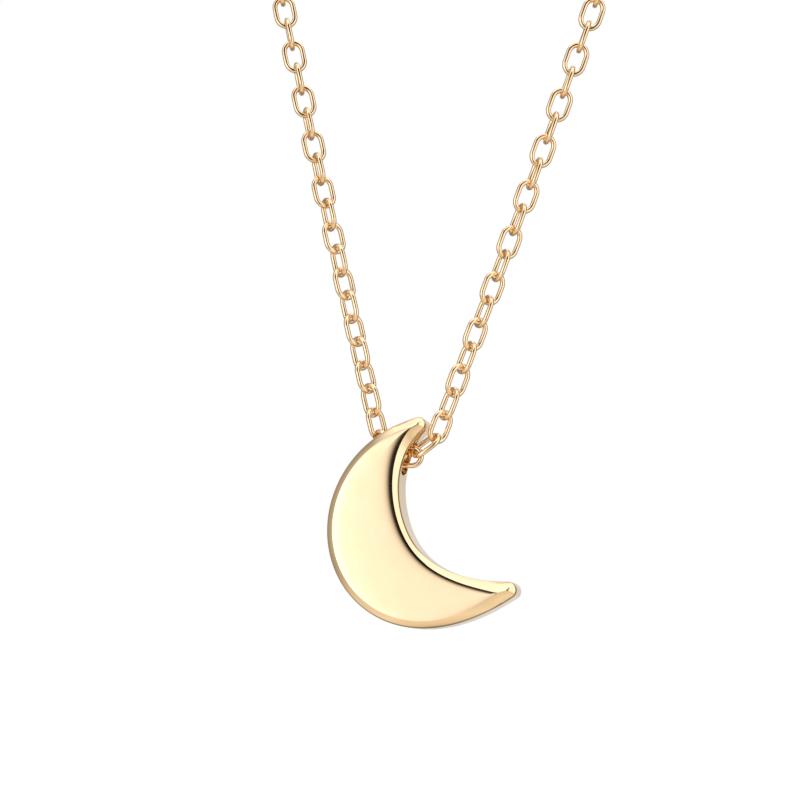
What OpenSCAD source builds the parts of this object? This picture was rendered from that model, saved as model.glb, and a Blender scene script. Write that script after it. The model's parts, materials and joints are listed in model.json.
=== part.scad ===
// Pendant necklace: a crescent-moon pendant on a fine cable chain with a spring-ring clasp.
// Millimetres, +Z up, the face of the pendant towards -Y.
// The origin is the centre of the neck or display rest that the necklace hangs round.

/* [Chain] */
// Thickness of the chain's wire
wire_d = 0.33; // [0.31:0.01:0.33]
// Outer width of one link
link_w = 1.5; // [1.48:0.01:1.52]
// Distance from one link's contact to the next
pitch = 1.54; // [1.5:0.01:1.58]
// Slack between two links that touch
slack = 0.045; // [0.035:0.005:0.06]

/* [How it hangs] */
// Lean of the strands beside the pendant, from vertical
lean = 17.4; // [16:0.05:18]
// Length that sets how fast the strands straighten as they rise
bend_len = 310; // [290:1:330]
// Lean of the two links that rise out of the pendant's slot, from horizontal
rise = 40; // [39:0.5:42]

/* [Pendant] */
// Thickness of the pendant
pendant_t = 3.1; // [3:0.05:3.2]
// Width of the bevel round both faces
bevel_w = 0.45; // [0.4:0.05:0.6]
// Depth of the bevel
bevel_t = 0.45; // [0.3:0.05:0.55]
// How far the front face bulges at its middle
crown = 0.1; // [0.02:0.02:0.16]
// Width of the chain slot, front to back
slot_w = 1.8; // [1.75:0.05:1.8]
// Height of the chain slot
slot_h = 2.1; // [2.05:0.05:2.15]
// Fall of the chain slot from the outer edge to the inner edge
slot_fall = 29; // [27:0.5:30]

/* [Clasp] */
// Radius of the clasp ring, to the middle of its tube
clasp_r = 2.5; // [2.5:0.05:2.6]
// Outer radius of the clasp's tube
tube_r = 0.6; // [0.6:0.01:0.62]
// Radius of the latch rod that slides in the tube
rod_r = 0.38; // [0.36:0.01:0.39]
// Radius of the tube's bore
bore_r = 0.42; // [0.42:0.01:0.44]
// How far the latch turns back to open the clasp
latch_travel = 50; // [48:1:50]
// Wire radius of the jump ring, the tail ring and the eyelet
ring_wire_r = 0.3; // [0.28:0.01:0.3]

/* [Hidden] */
$fn = 24;

gold = "#e2b56f";
pale_gold = "#f1d8a0";
steel = "silver";

// One link, as the line along the middle of its wire
link_len = pitch + wire_d + slack;
bow_r = (link_w - wire_d) / 2;
leg = link_len - 2 * bow_r;

// Links on each side: one rises from the slot, then five rows hang straight, then the neck arc
row_links = 20;
rows = 5;
hang_links = row_links * rows;
// An even number, so that the last link stands across the ring that it hooks into
arc_links = 44;

// The hanging strand is a loaded chain: its lean falls as the weight of chain below it grows
lean_t = tan(lean);
hang_u = 1 + hang_links * pitch / bend_len;
function asinh(v) = ln(v + sqrt(v * v + 1));
function strand_x(u) = bend_len * lean_t * (asinh(u / lean_t) - asinh(1 / lean_t));
function strand_z(u) = bend_len * (sqrt(u * u + lean_t * lean_t) - sqrt(1 + lean_t * lean_t));

// The rising link bears on the inside of the bottom link's bow, so it starts within that bow
bow_reach = bow_r - (wire_d + slack) / 2;
rise_slack = 0.08;
rise_len = bow_reach + pitch - rise_slack;
first_x = leg / 2 + rise_len * cos(rise);
first_z = rise_len * sin(rise);

// The neck arc starts where the strand touches the neck circle
arc_from = -atan(lean_t / hang_u);
neck_r = (first_x + strand_x(hang_u)) / cos(arc_from);
bottom_z = neck_r * sin(arc_from) - strand_z(hang_u) - first_z;

// Rings of the clasp, measured along the chord across the top of the neck
ring_gap = 0.05;
jump_r = 1.15;
tail_r = 1.4;
eyelet_wire_r = 0.25;
eyelet_r = 0.7;
half_wire = wire_d / 2;
eyelet_x = clasp_r + bore_r + 0.05 + eyelet_r + eyelet_wire_r;
jump_x = eyelet_x + eyelet_r - eyelet_wire_r - ring_wire_r - ring_gap + jump_r;
tail_x = -clasp_r + tube_r + ring_wire_r + ring_gap - tail_r;
end_reach = ring_wire_r + half_wire + ring_gap - (wire_d + slack) / 2;
right_end = jump_x + jump_r - end_reach;
left_end = tail_x - tail_r + end_reach;
clasp_x = -(right_end + left_end) / 2;
chain_end_x = (right_end - left_end) / 2;
arc_to = acos(chain_end_x / neck_r);
arc_step = (arc_to - arc_from) / arc_links;
clasp_z = neck_r * sin(arc_to);

// Contact number k of the right-hand side: 0 is at the bottom link
function contact(k) =
    k == 0 ? [leg / 2 + bow_reach * cos(rise), bottom_z + bow_reach * sin(rise)] :
    k <= 1 + hang_links ? strand_contact(1 + (k - 1) * pitch / bend_len) :
    neck_contact(arc_from + arc_step * (k - 1 - hang_links));
function strand_contact(u) = [first_x + strand_x(u), bottom_z + first_z + strand_z(u)];
function neck_contact(a) = neck_r * [cos(a), sin(a)];

// Turn of the links about the strand: every second link is turned by a quarter turn more
twist_rest = 12;
twist_lift = 20;
first_twist = [35, 35];
low_twist = [45, 55];
function twist_of(k, first, low) =
    k == 0 ? first :
    k <= row_links ? twist_rest + (low - twist_rest) * pow(cos(90 * (k - 1) / row_links), 2) :
    twist_rest + twist_lift * pow(sin(180 * (k - 1) / row_links), 2);
function twist(side, k) =
    let (i = side > 0 ? 0 : 1)
    twist_of(k, first_twist[i], low_twist[i]) + (k % 2 == 0 ? 90 : 0);

// Outline of the pendant: circles of radius width(t) rolled along a curved spine, horn tip to horn tip
pendant_shift = -0.14;
pendant_drop = -4.9;
spine = [[0.96, 6.8], [-4.15, 3.85], [-3.05, -6.7], [7.2, -3.05]];
widths = [0.42, 1.4, 3.8, 2.8, 0.52];
function curve3(p, t) =
    p[0] * pow(1 - t, 3) + p[1] * 3 * t * pow(1 - t, 2) + p[2] * 3 * t * t * (1 - t) + p[3] * pow(t, 3);
function curve4(p, t) =
    p[0] * pow(1 - t, 4) + p[1] * 4 * t * pow(1 - t, 3) + p[2] * 6 * t * t * pow(1 - t, 2)
    + p[3] * 4 * pow(t, 3) * (1 - t) + p[4] * pow(t, 4);
function slopes(p) = [for (i = [0:len(p) - 2]) (p[i + 1] - p[i]) * (len(p) - 1)];
function curve2(p, t) = p[0] * pow(1 - t, 2) + p[1] * 2 * t * (1 - t) + p[2] * t * t;
function heading(t) = let (d = curve2(slopes(spine), t)) atan2(d[1], d[0]);
function flare(t) = asin(curve3(slopes(widths), t) / norm(curve2(slopes(spine), t)));

// A rib is [spine point, direction to the outline, radius there]
function rib(t, side) = [curve3(spine, t), heading(t) + side * (90 + flare(t)), curve4(widths, t)];
spine_steps = 36;
tip_steps = 6;
function tip_ribs(t, out, half_fan) = [
    for (i = [1:tip_steps - 1])
        [curve3(spine, t), out + half_fan * (1 - 2 * i / tip_steps), curve4(widths, t)]
];
ribs = concat(
    [for (i = [0:spine_steps]) rib(i / spine_steps, 1)],
    tip_ribs(1, heading(1), 90 + flare(1)),
    [for (i = [spine_steps:-1:0]) rib(i / spine_steps, -1)],
    tip_ribs(0, heading(0) + 180, 90 - flare(0))
);

// The wall between the bevels thins towards the horn tips
wall_half = (pendant_t - crown) / 2 - bevel_t;
thin_below = 0.9;
tip_wall = 0.45;
function rib_wall(r) = wall_half * min(1, tip_wall + (1 - tip_wall) * r / thin_below);
function rib_point(r, inset) = r[0] + (r[2] - inset) * [cos(r[1]), sin(r[1])];
function bevel_inset(r) = min(bevel_w, 0.85 * r[2]);
// The front face is crowned and the back face is flat
crown_run = 1.4;
function face_height(r, inset, up) =
    rib_wall(r) + bevel_t * min(inset / bevel_w, 1)
    + (up < 0 ? crown : 0) * (1 - pow(1 - min(1, max(0, inset - bevel_w) / crown_run), 2));
function ring_points(inset_of, up) = [
    for (r = ribs) let (inset = inset_of(r), p = rib_point(r, inset))
        [p[0], up * face_height(r[2], inset, up), p[1]]
];
rib_count = len(ribs);
insets = [function(r) 0, function(r) 0.5 * bevel_inset(r), function(r) bevel_inset(r),
          function(r) (bevel_inset(r) + r[2]) / 2];
ring_count = len(insets);
front_rings = [for (f = insets) each ring_points(f, -1)];
back_rings = [for (f = insets) each ring_points(f, 1)];
function spine_points(up) = [
    for (i = [0:spine_steps])
        let (t = i / spine_steps, p = curve3(spine, t), r = curve4(widths, t))
        [p[0], up * face_height(r, r, up), p[1]]
];
shell_points = concat(front_rings, back_rings, spine_points(-1), spine_points(1));
back_start = ring_count * rib_count;
spine_start = 2 * back_start;
function spine_index(k) =
    k <= spine_steps ? k :
    k < spine_steps + tip_steps ? spine_steps :
    k <= 2 * spine_steps + tip_steps ? 2 * spine_steps + tip_steps - k : 0;
function flip(face, up) = up < 0 ? face : [for (i = [len(face) - 1:-1:0]) face[i]];
function strip(a, b, up) = [
    for (k = [0:rib_count - 1]) let (n = (k + 1) % rib_count)
        each [flip([a + k, a + n, b + n], up), flip([a + k, b + n, b + k], up)]
];
function cap_faces(a, s, up) = [
    for (k = [0:rib_count - 1])
        let (n = (k + 1) % rib_count, p = s + spine_index(k), q = s + spine_index(n))
        each p == q ? [flip([a + k, a + n, p], up)]
            : [flip([a + k, a + n, q], up), flip([a + k, q, p], up)]
];
shell_faces = concat(
    strip(0, back_start, 1),
    [for (j = [0:ring_count - 2]) each strip(j * rib_count, (j + 1) * rib_count, -1)],
    [for (j = [0:ring_count - 2])
        each strip(back_start + j * rib_count, back_start + (j + 1) * rib_count, 1)],
    cap_faces((ring_count - 1) * rib_count, spine_start, -1),
    cap_faces(back_start + (ring_count - 1) * rib_count, spine_start + spine_steps + 1, 1)
);

// Middle of the chain slot where it opens on the pendant's inner edge
slot_at = [0.3, 4.75];
slot_from = -4.5;
slot_to = 1.4;
slot_corner = 0.5;

// Angles round the clasp ring, counter-clockwise from the eyelet
gap_from = 120;
gap_to = 165;
bore_stop = -25;
latch_tip = 172;
latch_tail = 60;
tab_at = 75;
tab_r = 0.2;
tab_slot_extra = 6;
spring_r = 0.36;
spring_bore = 0.22;

module at_contacts(side, k) {
    low = contact(k);
    high = contact(k + 1);
    mid = (low + high) / 2;
    tilt = atan2(high[0] - low[0], high[1] - low[1]);
    mirror_x = side > 0 ? 1 : -1;
    translate([mirror_x * mid[0], 0, mid[1]])
        rotate([0, mirror_x * tilt, 0])
        rotate([0, 0, twist(side, k)])
        children();
}

// A link stands along Z with its broad side along X
module link() {
    for (end = [-1, 1])
        translate([0, 0, end * leg / 2])
            rotate([90, end > 0 ? 0 : 180, 0])
            rotate_extrude(angle = 180)
            translate([bow_r, 0]) circle(r = half_wire);
    for (side = [-1, 1])
        translate([side * bow_r, 0, -leg / 2]) cylinder(r = half_wire, h = leg);
}

// Links first..last of one side; side is 1 on the right and -1 on the left
module chain(side, first, last) {
    color(gold)
        for (k = [first:last]) at_contacts(side, k) link();
}

// Stretch n of one side: two stretches a row from the lowest up, then four on the neck arc
stretch = row_links / 2;
row_stretches = 2 * rows;
arc_stretches = 4;
arc_stretch = arc_links / arc_stretches;
function stretch_first(n) =
    n <= row_stretches ? 1 + (n - 1) * stretch :
    1 + hang_links + (n - 1 - row_stretches) * arc_stretch;
stretches = row_stretches + arc_stretches;
// Place in NODES just before the first left-hand stretch
left_node = 3;
module chain_stretch(side, n) {
    chain(side, stretch_first(n), stretch_first(n + 1) - 1);
}

module rising_link_left() { chain(-1, 0, 0); }
module rising_link_right() { chain(1, 0, 0); }

module bottom_link() {
    color(gold)
        translate([0, 0, bottom_z]) rotate([0, 90, 0]) link();
}

// Section of the chain slot: a rectangle with round corners
module slot_section() {
    for (end = [-1, 1], side = [-1, 1])
        translate([end * (slot_h / 2 - slot_corner), side * (slot_w / 2 - slot_corner)])
            circle(r = slot_corner);
    square([slot_h, slot_w - 2 * slot_corner], center = true);
    square([slot_h - 2 * slot_corner, slot_w], center = true);
}

module pendant() {
    color(pale_gold)
        translate([pendant_shift, 0, bottom_z + pendant_drop])
        difference() {
            polyhedron(points = shell_points, faces = shell_faces, convexity = 6);
            translate([slot_at[0], 0, slot_at[1]])
                rotate([0, 90 + slot_fall, 0])
                translate([0, 0, slot_from])
                linear_extrude(slot_to - slot_from) slot_section();
        }
}

// A round ring standing in the plane of the necklace
module upright_ring(x, r, wire_r) {
    color(gold)
        translate([clasp_x + x, 0, clasp_z])
        rotate([90, 0, 0])
        rotate_extrude() translate([r, 0]) circle(r = wire_r);
}

module jump_ring() { upright_ring(jump_x, jump_r, ring_wire_r); }
module tail_ring() { upright_ring(tail_x, tail_r, ring_wire_r); }

// Part of a ring lying flat on the neck, between two angles
module flat_arc(from, to, outer, inner) {
    rotate([0, 0, from])
        rotate_extrude(angle = to - from)
        translate([clasp_r, 0])
        difference() {
            circle(r = outer);
            if (inner > 0) circle(r = inner);
        }
}

module clasp_tube() {
    $fn = 48;
    color(gold)
        translate([clasp_x, 0, clasp_z]) {
            difference() {
                flat_arc(gap_to, gap_from + 360, tube_r, bore_r);
                rotate([0, 0, tab_at - latch_travel - tab_slot_extra])
                    rotate_extrude(angle = latch_travel + 2 * tab_slot_extra)
                    translate([clasp_r, -tab_r - 0.04])
                    square([tube_r * 2, 2 * tab_r + 0.08]);
            }
            flat_arc(bore_stop - 4, bore_stop, (tube_r + bore_r) / 2, 0);
        }
}

module clasp_eyelet() {
    color(gold)
        translate([clasp_x + eyelet_x, 0, clasp_z])
        rotate_extrude() translate([eyelet_r, 0]) circle(r = eyelet_wire_r);
}

module clasp_latch() {
    color(gold)
        translate([clasp_x, 0, clasp_z]) {
            flat_arc(latch_tail, latch_tip, rod_r, 0);
            rotate([0, 0, tab_at]) translate([clasp_r, 0, 0]) rotate([0, 90, 0]) {
                cylinder(r = tab_r, h = tube_r + 0.6);
                translate([0, 0, tube_r + 0.6]) sphere(r = 0.36);
            }
        }
}

module clasp_spring() {
    color(steel)
        translate([clasp_x, 0, clasp_z])
        flat_arc(bore_stop + 0.5, latch_tail - 0.5, spring_r, spring_bore);
}

pendant();
bottom_link();
rising_link_left();
rising_link_right();
for (n = [1:stretches]) {
    chain_stretch(-1, n);
    chain_stretch(1, n);
}
jump_ring();
tail_ring();
clasp_tube();
clasp_eyelet();
clasp_latch();
clasp_spring();
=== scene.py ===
"""Pendant necklace: detailed links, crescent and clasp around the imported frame, in metres."""

import json
import math

import bmesh
import bpy
import numpy as np
from mathutils import Matrix, Vector

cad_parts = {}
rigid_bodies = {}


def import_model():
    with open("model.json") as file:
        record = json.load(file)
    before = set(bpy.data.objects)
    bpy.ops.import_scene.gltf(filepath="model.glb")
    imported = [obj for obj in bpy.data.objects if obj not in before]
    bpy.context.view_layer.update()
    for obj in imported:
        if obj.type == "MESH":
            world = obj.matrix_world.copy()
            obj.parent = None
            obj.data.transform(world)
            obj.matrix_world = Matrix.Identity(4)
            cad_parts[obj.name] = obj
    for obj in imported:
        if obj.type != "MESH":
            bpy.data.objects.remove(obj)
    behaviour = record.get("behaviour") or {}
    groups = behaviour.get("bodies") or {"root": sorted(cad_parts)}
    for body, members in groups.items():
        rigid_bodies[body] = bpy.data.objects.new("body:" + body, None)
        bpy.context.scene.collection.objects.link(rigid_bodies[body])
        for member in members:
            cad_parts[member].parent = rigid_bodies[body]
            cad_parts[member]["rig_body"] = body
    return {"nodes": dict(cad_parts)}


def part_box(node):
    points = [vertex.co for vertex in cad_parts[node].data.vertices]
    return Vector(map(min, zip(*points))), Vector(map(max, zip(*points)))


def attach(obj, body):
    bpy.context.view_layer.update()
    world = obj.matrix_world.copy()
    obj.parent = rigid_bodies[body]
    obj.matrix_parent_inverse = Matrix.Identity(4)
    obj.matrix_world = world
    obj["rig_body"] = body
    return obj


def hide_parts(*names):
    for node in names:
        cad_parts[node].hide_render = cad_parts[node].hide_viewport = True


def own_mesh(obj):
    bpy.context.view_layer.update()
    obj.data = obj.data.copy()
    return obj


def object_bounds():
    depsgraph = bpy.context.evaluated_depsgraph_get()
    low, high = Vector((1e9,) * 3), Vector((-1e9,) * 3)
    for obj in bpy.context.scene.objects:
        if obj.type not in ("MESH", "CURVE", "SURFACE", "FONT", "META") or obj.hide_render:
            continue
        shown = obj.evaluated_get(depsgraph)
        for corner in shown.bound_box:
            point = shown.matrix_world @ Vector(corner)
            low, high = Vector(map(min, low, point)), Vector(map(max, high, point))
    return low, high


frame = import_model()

cad_box = [list(corner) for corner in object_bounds()]
MM = 0.001
NODES = frame["nodes"]


# ---------------------------------------------------------------- mesh helpers

SMOOTH_ANGLE = 35


def new_piece(name, points, faces, material):
    """A mesh object from points in metres, shaded smooth except across sharp edges."""
    mesh = bpy.data.meshes.new(name)
    mesh.from_pydata([tuple(p) for p in points], [], [tuple(int(i) for i in f) for f in faces])
    mesh.validate()
    mesh.materials.append(material)
    piece = bpy.data.objects.new(name, mesh)
    bpy.context.scene.collection.objects.link(piece)
    mesh.polygons.foreach_set("use_smooth", [True] * len(mesh.polygons))
    mesh.set_sharp_from_angle(angle=math.radians(SMOOTH_ANGLE))
    return piece


def body_of(node):
    return NODES[node]["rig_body"]


def tube_grid(rows, columns, close_rows=True):
    """Quads over a grid of points that closes round each row, and from the last row to the first."""
    faces = []
    for i in range(rows if close_rows else rows - 1):
        for j in range(columns):
            a, b = i * columns + j, i * columns + (j + 1) % columns
            c, d = (i + 1) % rows * columns + (j + 1) % columns, (i + 1) % rows * columns + j
            faces.append((a, b, c, d))
    return faces


def sweep(path, sides, across, radii):
    """Points of a tube round a path. sides and across span its cross-section, and radii scales both."""
    turn = np.linspace(0, 2 * np.pi, radii.shape[1], endpoint=False)
    ring = np.cos(turn)[None, :, None] * sides[:, None, :] + np.sin(turn)[None, :, None] * across[:, None, :]
    return (path[:, None, :] + radii[:, :, None] * ring).reshape(-1, 3)


# ---------------------------------------------------------------- materials

def shader_nodes(name):
    material = bpy.data.materials.new(name)
    material.use_nodes = True
    tree = material.node_tree
    return material, tree, tree.nodes["Principled BSDF"]


def noise(tree, position, scale, detail=3.0, roughness=0.55):
    node = tree.nodes.new("ShaderNodeTexNoise")
    node.inputs["Scale"].default_value = scale
    node.inputs["Detail"].default_value = detail
    node.inputs["Roughness"].default_value = roughness
    tree.links.new(position, node.inputs["Vector"])
    return node.outputs["Fac"]


# Most of a noise texture's values lie between these two
NOISE_LOW, NOISE_HIGH = 0.3, 0.7


def map_range(tree, value, low, high):
    """A noise value stretched so that it runs from low to high."""
    node = tree.nodes.new("ShaderNodeMapRange")
    node.inputs["From Min"].default_value = NOISE_LOW
    node.inputs["From Max"].default_value = NOISE_HIGH
    node.inputs["To Min"].default_value = low
    node.inputs["To Max"].default_value = high
    tree.links.new(value, node.inputs["Value"])
    return node.outputs["Result"]


CLOUD_SCALE = 900
RIPPLE_SCALE = 500
SCRATCH_DEPTH = 0.002 * MM
RIPPLE_DEPTH = 0.01 * MM


def polished_metal(name, light, deep, rough, scratch, ripple, grain_scale=14000):
    """Polished metal: two close tones in soft clouds, fine scratches from polishing, and a faint ripple."""
    material, tree, shader = shader_nodes(name)
    place = tree.nodes.new("ShaderNodeTexCoord").outputs["Object"]
    cloud = noise(tree, place, CLOUD_SCALE)
    tint = tree.nodes.new("ShaderNodeMix")
    tint.data_type = "RGBA"
    tint.inputs[6].default_value = (*light, 1)
    tint.inputs[7].default_value = (*deep, 1)
    tree.links.new(map_range(tree, cloud, 0, 1), tint.inputs["Factor"])
    tree.links.new(tint.outputs[2], shader.inputs["Base Color"])
    shader.inputs["Metallic"].default_value = 1

    scratches = noise(tree, place, grain_scale, 2.0, 0.7)
    tree.links.new(map_range(tree, scratches, rough * 0.8, rough * 1.25), shader.inputs["Roughness"])

    fine = tree.nodes.new("ShaderNodeBump")
    fine.inputs["Strength"].default_value = scratch
    fine.inputs["Distance"].default_value = SCRATCH_DEPTH
    tree.links.new(scratches, fine.inputs["Height"])
    broad = tree.nodes.new("ShaderNodeBump")
    broad.inputs["Strength"].default_value = ripple
    broad.inputs["Distance"].default_value = RIPPLE_DEPTH
    tree.links.new(noise(tree, place, RIPPLE_SCALE, 1.0), broad.inputs["Height"])
    tree.links.new(fine.outputs["Normal"], broad.inputs["Normal"])
    tree.links.new(broad.outputs["Normal"], shader.inputs["Normal"])
    return material


PENDANT_GOLD = polished_metal("pendant_gold", (1.0, 0.775, 0.51), (0.98, 0.75, 0.475), 0.07, 0.15, 0.12)
CHAIN_GOLD = polished_metal("chain_gold", (0.98, 0.76, 0.51), (0.93, 0.69, 0.43), 0.12, 0.05, 0.1, 3000)
CLASP_GOLD = polished_metal("clasp_gold", (1.0, 0.75, 0.46), (0.97, 0.70, 0.41), 0.13, 0.3, 0.3)
SPRING_STEEL = polished_metal("spring_steel", (0.66, 0.66, 0.67), (0.55, 0.55, 0.57), 0.24, 0.6, 0.3)


# ---------------------------------------------------------------- chain links

LINK_STEPS = 44
WIRE_STEPS = 18
# A link's line is mostly straight legs with round ends, and a little of a plain oval
STADIUM_SHARE = 0.86
# Exponent of the wire's cross-section: 2 is round, and more is squarer
WIRE_SQUARENESS = 2.1
WIRE_SHARE = 0.98
SOLDER_HALF_L = 0.12 * MM
SOLDER_SWELL = 0.03
# CAD points closer than this are one point
WELD = 0.0001 * MM


def islands(node):
    """The separate solids in a CAD node, each as an array of triangles."""
    mesh = NODES[node].data
    mesh.calc_loop_triangles()
    corners = np.zeros(len(mesh.loop_triangles) * 3, np.int64)
    mesh.loop_triangles.foreach_get("vertices", corners)
    points = np.zeros(len(mesh.vertices) * 3)
    mesh.vertices.foreach_get("co", points)
    points = points.reshape(-1, 3)
    _, weld = np.unique(np.round(points / WELD).astype(np.int64), axis=0, return_inverse=True)
    triangles = weld.reshape(-1)[corners].reshape(-1, 3)
    label = np.arange(weld.max() + 1)
    while True:
        lowest = label[triangles].min(axis=1)
        before = label.copy()
        for corner in range(3):
            np.minimum.at(label, triangles[:, corner], lowest)
        label = label[label]
        if (label == before).all():
            break
    group = label[triangles[:, 0]]
    corners = points[corners].reshape(-1, 3, 3)
    return [corners[group == g] for g in np.unique(group)]


def solid_frame(triangles):
    """Middle and axes of a solid, from its surface. The columns are its broad, short and long axes."""
    edges = triangles[:, 1:] - triangles[:, :1]
    area = np.linalg.norm(np.cross(edges[:, 0], edges[:, 1]), axis=1) / 2
    centres = triangles.mean(axis=1)
    middle = (area[:, None] * centres).sum(0) / area.sum()
    local = triangles - middle
    spread = 9 * np.einsum("i,ij,ik->jk", area, local.mean(1), local.mean(1))
    spread += np.einsum("i,icj,ick->jk", area, local, local)
    _, axes = np.linalg.eigh(spread)
    _, broad, long = axes.T
    long = long if long[2] > 0 else -long
    broad = broad if broad[0] + 0.3 * broad[1] > 0 else -broad
    return middle, np.column_stack([broad, np.cross(long, broad), long])


def link_shape(link_w, link_l, wire_d):
    """One oval link about its middle: broad along X, long along Z, its wire slightly squared."""
    bow = (link_w - wire_d) / 2
    reach = (link_l - wire_d) / 2
    leg = reach - bow
    angle = (np.arange(LINK_STEPS) + 0.5) * 2 * np.pi / LINK_STEPS
    level = bow * np.sin(angle) + leg * np.sign(np.sin(angle))
    stadium = np.column_stack([bow * np.cos(angle), 0 * angle, level])
    oval = np.column_stack([bow * np.cos(angle), 0 * angle, reach * np.sin(angle)])
    path = STADIUM_SHARE * stadium + (1 - STADIUM_SHARE) * oval
    ahead = np.roll(path, -1, 0) - np.roll(path, 1, 0)
    ahead /= np.linalg.norm(ahead, axis=1)[:, None]
    face = np.tile([0.0, 1.0, 0.0], (LINK_STEPS, 1))
    out = np.cross(ahead, face)

    turn = np.linspace(0, 2 * np.pi, WIRE_STEPS, endpoint=False)
    power = WIRE_SQUARENESS
    squared = (np.abs(np.cos(turn)) ** power + np.abs(np.sin(turn)) ** power) ** (-1 / power)
    # The joint where the wire was closed and soldered is on the first leg
    along = np.abs(path[:, 2]) / SOLDER_HALF_L
    solder = np.where(path[:, 0] > 0, SOLDER_SWELL * np.exp(-along ** 2), 0)
    radii = wire_d / 2 * WIRE_SHARE * squared[None, :] * (1 + solder[:, None])
    return sweep(path, out, face, radii), tube_grid(LINK_STEPS, WIRE_STEPS)


def chain_piece(node):
    """One piece for all the links of a CAD node, each link made afresh in its own solid's place."""
    points, faces = [], []
    for triangles in islands(node):
        middle, axes = solid_frame(triangles)
        local = (triangles.reshape(-1, 3) - middle) @ axes
        size = local.max(0) - local.min(0)
        shape, quads = link_shape(size[0], size[2], size[1])
        faces += [tuple(i + len(points) * len(shape) for i in q) for q in quads]
        points.append(middle + shape @ axes.T)
    piece = new_piece(node + "_wire", np.concatenate(points), faces, CHAIN_GOLD)
    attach(piece, body_of(node))
    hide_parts(node)


def is_chain(node):
    return node.startswith("chain_") or node.endswith(("_link", "_link_left", "_link_right"))


for chain_node in sorted(filter(is_chain, NODES)):
    chain_piece(chain_node)


# ---------------------------------------------------------------- crescent

SPINE = np.array([[1.0, 6.8], [-4.15, 3.85], [-3.05, -6.7], [7.2, -3.05]]) * MM
WIDTHS = np.array([0.46, 1.4, 3.8, 2.8, 0.52]) * MM
# From the middle of the bottom link to the crescent's own origin
HANGS = Vector((-0.14, 0, -4.9)) * MM
SPINE_STEPS = 170
TIP_STEPS = 26
HALF_T = 1.5 * MM
EDGE_ROUND = 0.07 * MM
# Half-width of the upper and the lower horn where the face ends and the rounded tip begins
UPPER_FACE_END, LOWER_FACE_END = 0.56 * MM, 0.72 * MM
# The bevel is narrower on the inner edge, and both edges widen it towards the horn tips
INNER_BEVEL, INNER_FADE = 0.28 * MM, 0.8 * MM
OUTER_BEVEL, OUTER_FADE = 0.42 * MM, 0.5 * MM
BEVEL_FALL = 0.95
BELLY, TIP_BELLY = 0.3, 0.55
# How fast the ridge of a horn tip falls away as the horn narrows
TIP_SLOPE = 0.25
DEEPEST_BEVEL = 0.45 * MM
# How far the crowned front face bulges, and how it rolls off into the creases
BULGE = 0.06 * MM
BULGE_FULL_AT = 2.5 * MM
LIP = 0.04 * MM
ROLL, INNER_ROLL, ROLL_FADE = 0.2 * MM, 0.35 * MM, 0.18
ROLL_SLOPE, INNER_SLOPE, BACK_SLOPE = 0.11, 0.16, 0.06
# Half-width over which a horn turns from a chamfered face into a dome, and the dome's height to radius
DOME_FROM, DOME_BLEND, DOME_HEIGHT = 0.3 * MM, 0.4 * MM, 0.85
# Points this close on the finished crescent are one point
CRESCENT_WELD, SLIVER = 0.0005 * MM, 0.0002 * MM
CUT_SMOOTH_ANGLE = 18


def bernstein(points, t):
    """A Bezier curve of any degree at each t."""
    n = len(points) - 1
    t = np.asarray(t, float)
    weights = [math.comb(n, i) * (1 - t) ** (n - i) * t ** i for i in range(n + 1)]
    return np.tensordot(np.array(weights).T, points, axes=1)


def crescent_ribs():
    """Ribs from the spine to the outline, once round the crescent.

    Each has a spine point, a direction and a radius, a share from 0 on the outer side to 1 on the inner side,
    and a place along the spine.
    """
    even = np.linspace(0, 1, SPINE_STEPS)
    crowded_at_the_tips = (1 - np.cos(np.pi * even)) / 2
    t = 0.5 * crowded_at_the_tips + 0.5 * even
    centre = bernstein(SPINE, t)
    radius = bernstein(WIDTHS, t)
    speed = bernstein(np.diff(SPINE, axis=0) * 3, t)
    growth = bernstein(np.diff(WIDTHS) * 4, t)
    heading = np.unwrap(np.arctan2(speed[:, 1], speed[:, 0]))
    flare = np.arcsin(growth / np.linalg.norm(speed, axis=1))
    fan = np.arange(1, TIP_STEPS) / TIP_STEPS
    half_far, half_near = math.pi / 2 + flare[-1], math.pi / 2 - flare[0]
    left = heading + math.pi / 2 + flare
    right = heading - math.pi / 2 - flare
    far = heading[-1] + half_far * (1 - 2 * fan)
    near = heading[0] + math.pi + half_near * (1 - 2 * fan)
    far_middle, near_middle = (np.repeat(end, len(fan), 0) for end in (centre[-1:], centre[:1]))
    far_reach, near_reach = (np.full(len(fan), end) for end in (radius[-1], radius[0]))
    middle = np.concatenate([centre, far_middle, centre[::-1], near_middle])
    angle = np.concatenate([left, far, right[::-1], near])
    reach = np.concatenate([radius, far_reach, radius[::-1], near_reach])
    inner = np.concatenate([np.ones(len(t)), 1 - fan, np.zeros(len(t)), fan])
    along = np.concatenate([t, np.ones(len(fan)), t[::-1], np.zeros(len(fan))])
    return middle, angle, reach, inner, along


def smooth_step(value):
    value = np.clip(value, 0, 1)
    return value * value * (3 - 2 * value)


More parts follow.
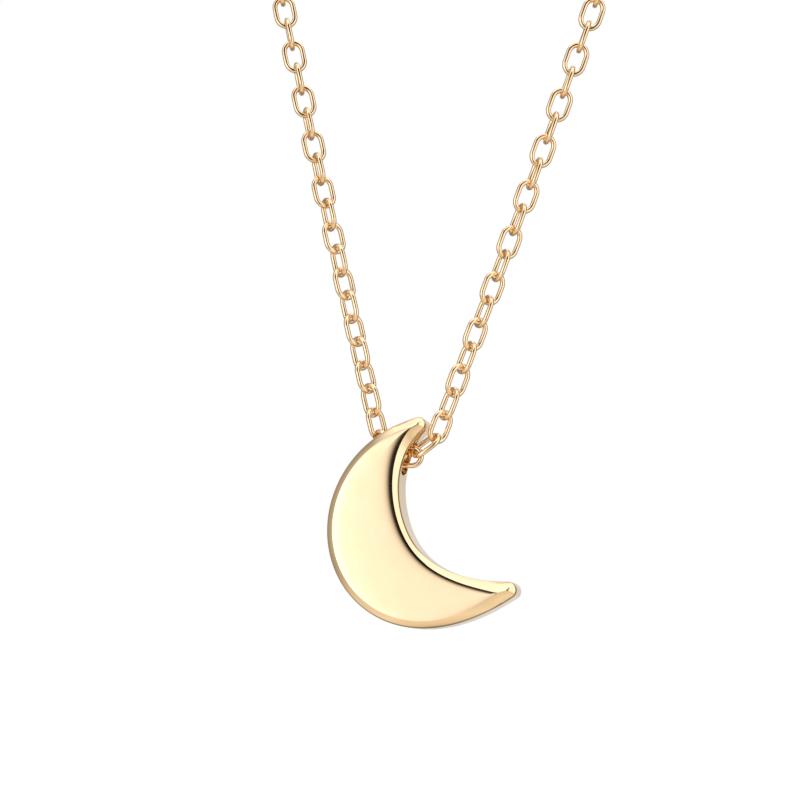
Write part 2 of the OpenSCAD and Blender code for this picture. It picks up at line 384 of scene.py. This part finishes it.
def crescent_side(middle, angle, radius, inner, along, front):
    """Rings of points from the wall's middle height to the spine, on the crescent's front or its back."""
    out = np.column_stack([np.cos(angle), np.sin(angle)])
    face_end = UPPER_FACE_END + (LOWER_FACE_END - UPPER_FACE_END) * along
    inner_bevel = INNER_BEVEL + (face_end - INNER_BEVEL) * np.exp(-(radius - face_end) / INNER_FADE)
    outer_bevel = OUTER_BEVEL + (face_end - OUTER_BEVEL) * np.exp(-(radius - face_end) / OUTER_FADE)
    bevel = np.minimum(inner * inner_bevel + (1 - inner) * outer_bevel, radius)
    face = radius - bevel

    # Height of the spine, and of the crease below it
    drop = TIP_SLOPE * np.maximum(0, face_end - radius)
    bulge = BULGE * np.clip((radius - face_end) / BULGE_FULL_AT, 0, 1) ** 2 if front else 0 * radius
    spine = HALF_T - drop + bulge + (LIP if front else 0)
    roll = ROLL + INNER_ROLL * inner * np.exp(-along / ROLL_FADE)
    slope = (ROLL_SLOPE + INNER_SLOPE * inner) if front else BACK_SLOPE
    lip = slope * roll
    crease = spine - lip * (1 - np.exp(-face / roll)) - bulge

    # A straight chamfer that becomes a dome at the horn tips
    tip = smooth_step((face_end + DOME_FROM - radius) / DOME_BLEND)
    dome = BELLY + (TIP_BELLY - BELLY) * tip
    fall = (1 - tip) * np.minimum(BEVEL_FALL * bevel, DEEPEST_BEVEL) + tip * DOME_HEIGHT * radius
    wall_top = crease - fall
    rings = []

    def add(inset, height):
        flat = middle + (radius - inset)[:, None] * out
        rings.append(np.column_stack([flat[:, 0], -height if front else height, flat[:, 1]]))

    def bevel_height(share):
        return wall_top + fall * ((1 - dome) * share + dome * np.sqrt(1 - (1 - share) ** 2))

    edge = np.minimum(EDGE_ROUND, 0.25 * bevel)
    for share in (0.25, 0.5, 0.75):
        add(0 * radius, (wall_top - edge) * share)
    for a in np.linspace(0, 1, 6):
        below = (1 - a) ** 2
        above = a ** 2
        add(above * edge, wall_top - below * edge + above * (bevel_height(edge / bevel) - wall_top))
    first = edge / bevel
    for a in np.linspace(0, 1, 9)[1:]:
        share = first + (1 - first) * (0.5 * a + 0.5 * a ** 1.5)
        add(share * bevel, bevel_height(share))
    for a in np.linspace(0, 1, 26)[1:]:
        far = face * a ** 1.9
        left = 1 - far / np.maximum(face, 1e-9)
        roll_off = lip * (np.exp(-far / roll) - np.exp(-face / roll))
        add(bevel + far, spine - roll_off - bulge * left ** 2)
    return rings


def crescent():
    ribs = crescent_ribs()
    count = len(ribs[0])
    front = crescent_side(*ribs, front=True)
    back = crescent_side(*ribs, front=False)
    waist = front[0] * [1, 0, 1]
    rings = front[::-1] + [waist] + back
    points = np.concatenate(rings)
    faces = []
    for i in range(len(rings) - 1):
        for j in range(count):
            k = (j + 1) % count
            faces.append((i * count + j, i * count + k, (i + 1) * count + k, (i + 1) * count + j))
    link_low, link_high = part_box("bottom_link")
    shift = (link_low + link_high) / 2 + HANGS
    piece = new_piece("crescent", points + np.array(shift), faces, PENDANT_GOLD)
    bm = bmesh.new()
    bm.from_mesh(piece.data)
    bmesh.ops.remove_doubles(bm, verts=bm.verts, dist=CRESCENT_WELD)
    bmesh.ops.dissolve_degenerate(bm, edges=bm.edges, dist=SLIVER)
    bmesh.ops.recalc_face_normals(bm, faces=bm.faces)
    bm.to_mesh(piece.data)
    bm.free()
    return piece, shift


# The slot's sizes are in mm and degrees, from the crescent's own origin, as in the CAD
SLOT_AT = (0.3, 4.75)
SLOT_FALL = 29
SLOT_W = 1.8
SLOT_H = 2.1
SLOT_FROM = -4.5
SLOT_TO = 1.4
SLOT_CORNER = 0.5


def slot_cutter(shift):
    """The chain slot as a solid: a bar with round corners that falls from the outer edge to the inner one."""
    outline = []
    for start, across, along in ((0, 1, 1), (90, -1, 1), (180, -1, -1), (270, 1, -1)):
        for a in np.radians(np.linspace(start, start + 90, 9)):
            outline.append((across * (SLOT_H / 2 - SLOT_CORNER) + SLOT_CORNER * math.cos(a),
                            along * (SLOT_W / 2 - SLOT_CORNER) + SLOT_CORNER * math.sin(a)))
    turn = Matrix.Rotation(math.radians(90 + SLOT_FALL), 4, "Y")
    place = Matrix.Translation(Vector((SLOT_AT[0] * MM, 0, SLOT_AT[1] * MM)) + shift) @ turn
    points = [place @ (Vector((x, y, z)) * MM) for z in (SLOT_FROM, SLOT_TO) for x, y in outline]
    n = len(outline)
    faces = [(i, (i + 1) % n, n + (i + 1) % n, n + i) for i in range(n)]
    faces += [tuple(range(n))[::-1], tuple(range(n, 2 * n))]
    return new_piece("slot_cutter", points, faces, PENDANT_GOLD)


def cut(piece, cutter):
    boolean = piece.modifiers.new("slot", "BOOLEAN")
    boolean.object = cutter
    boolean.operation = "DIFFERENCE"
    boolean.solver = "EXACT"
    bpy.context.view_layer.update()
    evaluated = piece.evaluated_get(bpy.context.evaluated_depsgraph_get())
    mesh = bpy.data.meshes.new_from_object(evaluated)
    piece.modifiers.clear()
    piece.data = mesh
    bpy.data.objects.remove(cutter)
    mesh.polygons.foreach_set("use_smooth", [True] * len(mesh.polygons))
    mesh.set_sharp_from_angle(angle=math.radians(CUT_SMOOTH_ANGLE))


moon, moon_shift = crescent()
cut(moon, slot_cutter(moon_shift))
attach(moon, "pendant")
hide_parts("pendant")


# ---------------------------------------------------------------- clasp and end rings

def middle_and_size(node):
    low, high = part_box(node)
    return (low + high) / 2, high - low


RING_STEPS = 96
ROD_STEPS = 24


def arc_tube(centre, ring_r, start, end, radius_at, flat=True, steps=RING_STEPS, wire_steps=ROD_STEPS):
    """A closed rod along part of a ring, between two angles; flat lies in XY and upright in XZ."""
    angle = np.radians(np.linspace(start, end, steps))
    out = np.column_stack([np.cos(angle), np.sin(angle), 0 * angle])
    up = np.tile([0.0, 0.0, 1.0], (steps, 1))
    share = np.linspace(0, 1, steps)
    radii = np.repeat(np.array([radius_at(s) for s in share])[:, None], wire_steps, 1)
    points = sweep(ring_r * out, out, up, radii)
    if not flat:
        points = points[:, [0, 2, 1]] * [1, -1, 1]
    faces = tube_grid(steps, wire_steps, close_rows=False)
    faces += [tuple(range(wire_steps))[::-1], tuple(range((steps - 1) * wire_steps, steps * wire_steps))]
    return points + np.array(centre), faces


def rounded(radius, ends):
    """Radius along a rod whose two ends are rounded over a share of its length."""
    def at(share):
        edge = min(share, 1 - share)
        if edge >= ends:
            return radius
        return max(0.02 * radius, radius * math.sqrt(1 - (1 - edge / ends) ** 2))
    return at


SPLIT_HALF_GAP = 1.2
SPLIT_ROUND = 0.012
SEAM_SWELL = 0.05
SEAM_HALF_STEPS = 1.5
SOLDERED_SHARE = 0.97


def end_ring(node, split, joint):
    """A wire ring in the necklace's plane, with a hairline split or a soldered seam at the joint's angle."""
    centre, size = middle_and_size(node)
    wire = size.y / 2
    ring_r = size.x / 2 - wire
    if split:
        start, end = joint + SPLIT_HALF_GAP, joint + 360 - SPLIT_HALF_GAP
        points, faces = arc_tube(centre, ring_r, start, end, rounded(wire, SPLIT_ROUND), flat=False)
    else:
        step = np.arange(RING_STEPS)
        angle = np.radians(joint + step * 360 / RING_STEPS)
        out = np.column_stack([np.cos(angle), 0 * angle, np.sin(angle)])
        up = np.tile([0.0, 1.0, 0.0], (RING_STEPS, 1))
        from_seam = np.minimum(step, RING_STEPS - step)
        seam = 1 + SEAM_SWELL * np.exp(-(from_seam / SEAM_HALF_STEPS) ** 2)
        radii = np.repeat(wire * SOLDERED_SHARE * seam[:, None], ROD_STEPS, 1)
        points = sweep(ring_r * out, out, up, radii) + np.array(centre)
        faces = tube_grid(RING_STEPS, ROD_STEPS)
    piece = new_piece(node + "_wire", points, faces, CLASP_GOLD)
    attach(piece, body_of(node))
    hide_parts(node)


end_ring("jump_ring", split=True, joint=75)
end_ring("tail_ring", split=False, joint=250)

CLASP_CENTRE, clasp_size = middle_and_size("clasp_tube")
TUBE_R = clasp_size.z / 2
CLASP_R = clasp_size.x / 2 - TUBE_R
BORE_R = 0.42 * MM
LATCH_R = 0.38 * MM
# Angles round the clasp, in degrees
GAP_FROM = 120
GAP_TO = 165
BORE_STOP = -25
LATCH_TAIL = 60
LATCH_TIP = 172
TAB_AT = 75
LATCH_TRAVEL = 50
TAB_ROOM = 6
TAB_SLOT = (TAB_AT - LATCH_TRAVEL - TAB_ROOM, TAB_AT + TAB_ROOM)
TAB_SLOT_HALF_W = 0.24 * MM
STOP_LENGTH = 4


def clasp_tube():
    """The hollow ring, open at the mouth, with the slot that the thumb tab slides in."""
    steps, around = 150, 48
    span = np.linspace(GAP_TO, GAP_FROM + 360, steps)
    turn = np.linspace(0, 360, around, endpoint=False)
    tab_half = math.degrees(math.asin(TAB_SLOT_HALF_W / TUBE_R))

    def open_cell(i, j):
        at = (span[i] + span[i + 1]) / 2 - 360
        side = (turn[j] + 180 / around + 180) % 360 - 180
        return TAB_SLOT[0] < at < TAB_SLOT[1] and abs(side) < tab_half

    def surface(radius, lip):
        angle = np.radians(span)
        out = np.column_stack([np.cos(angle), np.sin(angle), 0 * angle])
        up = np.tile([0.0, 0.0, 1.0], (steps, 1))
        share = np.minimum(np.arange(steps), np.arange(steps)[::-1])
        curl = radius + lip * np.exp(-share / 1.2)
        return sweep(CLASP_R * out, out, up, np.repeat(curl[:, None], around, 1))

    # Both surfaces curl towards each other at the mouth, which rounds its edges
    outer = surface(TUBE_R, -0.05 * MM)
    inner = surface(BORE_R, 0.03 * MM)
    points = np.concatenate([outer, inner]) + np.array(CLASP_CENTRE)
    offset = len(outer)
    faces = []
    closed = {(i, j) for i in range(steps - 1) for j in range(around) if not open_cell(i, j)}

    def at(i, j):
        return i * around + j % around

    for i, j in sorted(closed):
        quad = (at(i, j), at(i, j + 1), at(i + 1, j + 1), at(i + 1, j))
        faces.append(quad)
        faces.append(tuple(offset + v for v in quad[::-1]))
        sides = {(i - 1, j): (quad[0], quad[1]), (i, (j + 1) % around): (quad[1], quad[2]),
                 (i + 1, j): (quad[2], quad[3]), (i, (j - 1) % around): (quad[3], quad[0])}
        for neighbour, (a, b) in sides.items():
            if neighbour not in closed:
                faces.append((b, a, offset + a, offset + b))
    plug = rounded(BORE_R * 1.1, 0.15)
    stop, stop_faces = arc_tube(CLASP_CENTRE, CLASP_R, BORE_STOP - STOP_LENGTH, BORE_STOP, plug, steps=12)
    faces += [tuple(len(points) + v for v in f) for f in stop_faces]
    piece = new_piece("clasp_tube_shell", np.concatenate([points, stop]), faces, CLASP_GOLD)
    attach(piece, "clasp")
    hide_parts("clasp_tube")


def clasp_latch():
    """The sliding rod with a rounded nose, and the thumb tab on its stem."""
    def nose(share):
        """Radius of the rod, which narrows by an eighth or so over its last quarter."""
        body = rounded(LATCH_R, 0.05)(share)
        return body * (1 - 0.12 * max(0, share - 0.75) / 0.25)

    points, faces = arc_tube(CLASP_CENTRE, CLASP_R, LATCH_TAIL, LATCH_TIP, nose)
    angle = math.radians(TAB_AT)
    out = np.array([math.cos(angle), math.sin(angle), 0])
    along = np.array([-math.sin(angle), math.cos(angle), 0])
    # The stem stands on the rod and widens into the round tab
    heights = np.array([0.0, 0.3, 0.6, 0.8, 0.88, 0.96, 1.06, 1.18, 1.3, 1.42, 1.5, 1.545, 1.56]) * MM
    widths = np.array([0.2, 0.2, 0.2, 0.2, 0.22, 0.28, 0.34, 0.36, 0.35, 0.3, 0.22, 0.12, 0.02]) * MM
    steps, around = len(heights), ROD_STEPS
    path = np.array(CLASP_CENTRE) + CLASP_R * out + heights[:, None] * out
    radii = np.repeat(widths[:, None], around, 1)
    tab = sweep(path, np.tile(along, (steps, 1)), np.tile([0.0, 0.0, 1.0], (steps, 1)), radii)
    tab_faces = [f[::-1] for f in tube_grid(steps, around, close_rows=False)]
    tab_faces += [tuple(range(around)), tuple(range((steps - 1) * around, steps * around))[::-1]]
    faces += [tuple(len(points) + v for v in f) for f in tab_faces]
    piece = new_piece("clasp_latch_rod", np.concatenate([points, tab]), faces, CLASP_GOLD)
    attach(piece, "latch")
    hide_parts("clasp_latch")


# The solder that joins the eyelet to the tube: how much it thickens the wire, and over what angle in radians
FILLET_SWELL = 0.45
FILLET_HALF_ANGLE = 0.45


def clasp_eyelet():
    """The small flat ring soldered to the outside of the tube, with its fillet of solder."""
    centre, size = middle_and_size("clasp_eyelet")
    wire = size.z / 2
    ring_r = size.x / 2 - wire
    steps, around = 72, 24
    angle = np.arange(steps) * 2 * np.pi / steps
    out = np.column_stack([np.cos(angle), np.sin(angle), 0 * angle])
    up = np.tile([0.0, 0.0, 1.0], (steps, 1))
    solder = 1 + FILLET_SWELL * np.exp(-((np.abs(angle - np.pi)) / FILLET_HALF_ANGLE) ** 2)
    radii = np.repeat(wire * 0.98 * solder[:, None], around, 1)
    points = sweep(ring_r * out, out, up, radii) + np.array(centre)
    piece = new_piece("clasp_eyelet_ring", points, tube_grid(steps, around), CLASP_GOLD)
    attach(piece, "clasp")
    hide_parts("clasp_eyelet")


def clasp_spring():
    """The return spring coiled in the bore between the stop and the latch's tail."""
    turns, per_turn, around = 22, 16, 8
    coil_r, wire = 0.29 * MM, 0.05 * MM
    start, end = BORE_STOP + 2, LATCH_TAIL - 2
    share = np.linspace(0, 1, turns * per_turn)
    angle = np.radians(start + (end - start) * share)
    spin = 2 * np.pi * turns * share
    out = np.column_stack([np.cos(angle), np.sin(angle), 0 * angle])
    up = np.tile([0.0, 0.0, 1.0], (len(share), 1))
    path = CLASP_R * out + coil_r * (np.cos(spin)[:, None] * out + np.sin(spin)[:, None] * up)
    ahead = np.gradient(path, axis=0)
    ahead /= np.linalg.norm(ahead, axis=1)[:, None]
    side = np.cos(spin)[:, None] * out + np.sin(spin)[:, None] * up
    side -= (side * ahead).sum(1)[:, None] * ahead
    side /= np.linalg.norm(side, axis=1)[:, None]
    across = np.cross(ahead, side)
    points = sweep(path, side, across, np.full((len(share), around), wire)) + np.array(CLASP_CENTRE)
    faces = [f[::-1] for f in tube_grid(len(share), around, close_rows=False)]
    faces += [tuple(range(around)), tuple(range((len(share) - 1) * around, len(share) * around))[::-1]]
    piece = new_piece("clasp_spring_coil", points, faces, SPRING_STEEL)
    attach(piece, "clasp")
    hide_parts("clasp_spring")
    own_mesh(piece)


clasp_tube()
clasp_latch()
clasp_eyelet()
clasp_spring()


# ---------------------------------------------------------------- stage, light and camera

FLOOR_HALF = 4.0
FLOOR_DROP = 0.12
# Strong enough for the floor to look as white as the sky behind it
FLOOR_GLOW = 0.75


def floor():
    """A white floor under the part, which the metal doesn't reflect."""
    half = FLOOR_HALF
    z = cad_box[0][2] - FLOOR_DROP
    mesh = bpy.data.meshes.new("floor")
    corners = [(-half, -half, z), (half, -half, z), (half, half, z), (-half, half, z)]
    mesh.from_pydata(corners, [], [(0, 1, 2, 3)])
    material, _, shader = shader_nodes("floor_white")
    shader.inputs["Base Color"].default_value = (0.9, 0.9, 0.89, 1)
    shader.inputs["Roughness"].default_value = 0.9
    shader.inputs["Emission Color"].default_value = (1, 1, 1, 1)
    shader.inputs["Emission Strength"].default_value = FLOOR_GLOW
    mesh.materials.append(material)
    stage = bpy.data.objects.new("floor", mesh)
    stage.visible_glossy = False
    bpy.context.scene.collection.objects.link(stage)


SKY_STRENGTH = 1.8
# How much green and blue a fully warm light lacks
WARM_GREEN, WARM_BLUE = 0.14, 0.36


def studio():
    """Soft light from the sky, seen by the camera as plain white.

    There is a large soft box on the left, a dark gap by the camera, and a second box on the right.
    """
    world = bpy.data.worlds.new("studio")
    bpy.context.scene.world = world
    world.use_nodes = True
    tree = world.node_tree
    make, link = tree.nodes.new, tree.links.new
    background = tree.nodes["Background"]
    direction = make("ShaderNodeTexCoord").outputs["Generated"]
    parts = make("ShaderNodeSeparateXYZ")
    link(direction, parts.inputs[0])

    def math_node(kind, a, b=None):
        node = make("ShaderNodeMath")
        node.operation = kind
        for slot, value in enumerate((a, b)):
            if value is None:
                continue
            if isinstance(value, (int, float)):
                node.inputs[slot].default_value = value
            else:
                link(value, node.inputs[slot])
        return node.outputs[0]

    forward = math_node("MULTIPLY", parts.outputs["Y"], -1)
    azimuth = math_node("ARCTAN2", parts.outputs["X"], forward)
    level = math_node("ARCSINE", parts.outputs["Z"])

    def ramp(angle, stops):
        """Colour along an angle, from stops of (degrees, brightness, warmth)."""
        first, last = stops[0][0], stops[-1][0]
        node = make("ShaderNodeMapRange")
        node.inputs["From Min"].default_value = math.radians(first)
        node.inputs["From Max"].default_value = math.radians(last)
        link(angle, node.inputs["Value"])
        curve = make("ShaderNodeValToRGB")
        link(node.outputs["Result"], curve.inputs["Fac"])
        elements = curve.color_ramp.elements
        while len(elements) > 1:
            elements.remove(elements[-1])
        for i, (degrees, value, warmth) in enumerate(stops):
            place = (degrees - first) / (last - first)
            element = elements[0] if i == 0 else elements.new(place)
            element.position = place
            green, blue = value * (1 - WARM_GREEN * warmth), value * (1 - WARM_BLUE * warmth)
            element.color = (value, green, blue, 1)
        return curve.outputs["Color"]

    round_about = ramp(azimuth, [
        (-180, 0.42, 0), (-150, 0.28, 0.3), (-120, 0.14, 0.6), (-104, 0.2, 0.5), (-85, 0.27, 0.4),
        (-60, 0.45, 0.2), (-45, 1.0, 0), (-22, 1.0, 0), (-18, 0.88, 0), (-15, 0.74, 0), (-12, 0.68, 0),
        (-8, 0.61, 0), (-4, 0.47, 0.2), (0, 0.25, 0.4), (4, 0.05, 0.5), (8, 0.012, 0), (24, 0.012, 0),
        (31, 0.4, 0.6), (42, 0.72, 0.2), (90, 0.72, 0.1), (100, 0.2, 0.7), (125, 0.08, 1), (150, 0.3, 0.3),
        (180, 0.42, 0)])
    up_down = ramp(level, [
        (-90, 0.85, 0.2), (-25, 0.85, 0.2), (-10, 1, 0), (30, 1, 0), (60, 0.9, 0), (90, 0.8, 0.1)])
    gap_above = ramp(level, [
        (-90, 1, 0), (9, 1, 0), (14, 0.7, 0.1), (18, 0.16, 0.3), (22, 0.03, 0), (33, 0.03, 0),
        (39, 0.45, 0.4), (48, 1, 0), (90, 1, 0)])
    # Where the gap above counts: only ahead of the crescent, towards the camera
    ahead = ramp(azimuth, [(-180, 0, 0), (-38, 0, 0), (-24, 1, 0), (30, 1, 0), (44, 0, 0), (180, 0, 0)])
    low = ramp(level, [
        (-90, 0.34, 1), (-75, 0.46, 0.8), (-60, 0.52, 0.6), (-35, 0.42, 0.7), (90, 0.42, 0.7)])
    behind = ramp(azimuth, [
        (-180, 0.3, 0), (-125, 0.4, 0), (-95, 1, 0), (95, 1, 0), (125, 0.4, 0), (180, 0.3, 0)])
    high = ramp(level, [(-90, 0.75, 0), (50, 0.75, 0), (90, 0.7, 0.1)])

    def mix(kind, factor, a, b):
        node = make("ShaderNodeMix")
        node.data_type = "RGBA"
        node.blend_type = kind
        if isinstance(factor, (int, float)):
            node.inputs["Factor"].default_value = factor
        else:
            link(factor, node.inputs["Factor"])
        link(a, node.inputs[6])
        link(b, node.inputs[7])
        return node.outputs[2]

    def fade(start, end):
        node = make("ShaderNodeMapRange")
        node.interpolation_type = "SMOOTHSTEP"
        node.inputs["From Min"].default_value = math.radians(start)
        node.inputs["From Max"].default_value = math.radians(end)
        link(level, node.inputs["Value"])
        return node.outputs["Result"]

    around = mix("MULTIPLY", ahead, mix("MULTIPLY", 1, round_about, up_down), gap_above)
    around = mix("MIX", fade(42, 58), around, high)
    light = mix("MIX", fade(-15, -40), around, mix("MULTIPLY", 1, low, behind))
    brighter = make("ShaderNodeVectorMath")
    brighter.operation = "SCALE"
    brighter.inputs["Scale"].default_value = SKY_STRENGTH
    link(light, brighter.inputs[0])
    camera_ray = make("ShaderNodeLightPath").outputs["Is Camera Ray"]
    shown = make("ShaderNodeMix")
    shown.data_type = "RGBA"
    link(camera_ray, shown.inputs["Factor"])
    link(brighter.outputs["Vector"], shown.inputs[6])
    shown.inputs[7].default_value = (1, 1, 1, 1)
    link(shown.outputs[2], background.inputs["Color"])


# Degrees and metres; the width of the picture is taken where the pendant hangs
VIEW_AZIMUTH = 11.5
VIEW_LEVEL = -7.0
VIEW_ROLL = 3.9
VIEW_DISTANCE = 0.13
FRAME_WIDTH = 0.050


def camera():
    """The camera looks at a point just left of the chain's lowest link, a little above it."""
    bottom, _ = middle_and_size("bottom_link")
    target = bottom + Vector((-0.64, 0, 3.5)) * MM
    azimuth, tilt = math.radians(VIEW_AZIMUTH), math.radians(VIEW_LEVEL)
    back = Vector((math.sin(azimuth) * math.cos(tilt), -math.cos(azimuth) * math.cos(tilt), math.sin(tilt)))
    lens = bpy.data.cameras.new("camera")
    lens.sensor_width = 36
    lens.lens = lens.sensor_width * VIEW_DISTANCE / FRAME_WIDTH
    lens.clip_start = 0.005
    holder = bpy.data.objects.new("camera", lens)
    bpy.context.scene.collection.objects.link(holder)
    aim = back.to_track_quat("Z", "Y").to_matrix().to_4x4()
    roll = Matrix.Rotation(math.radians(VIEW_ROLL), 4, "Z")
    holder.matrix_world = Matrix.Translation(target + back * VIEW_DISTANCE) @ aim @ roll
    bpy.context.scene.camera = holder


floor()
studio()
camera()
bpy.context.scene.view_settings.view_transform = "Standard"
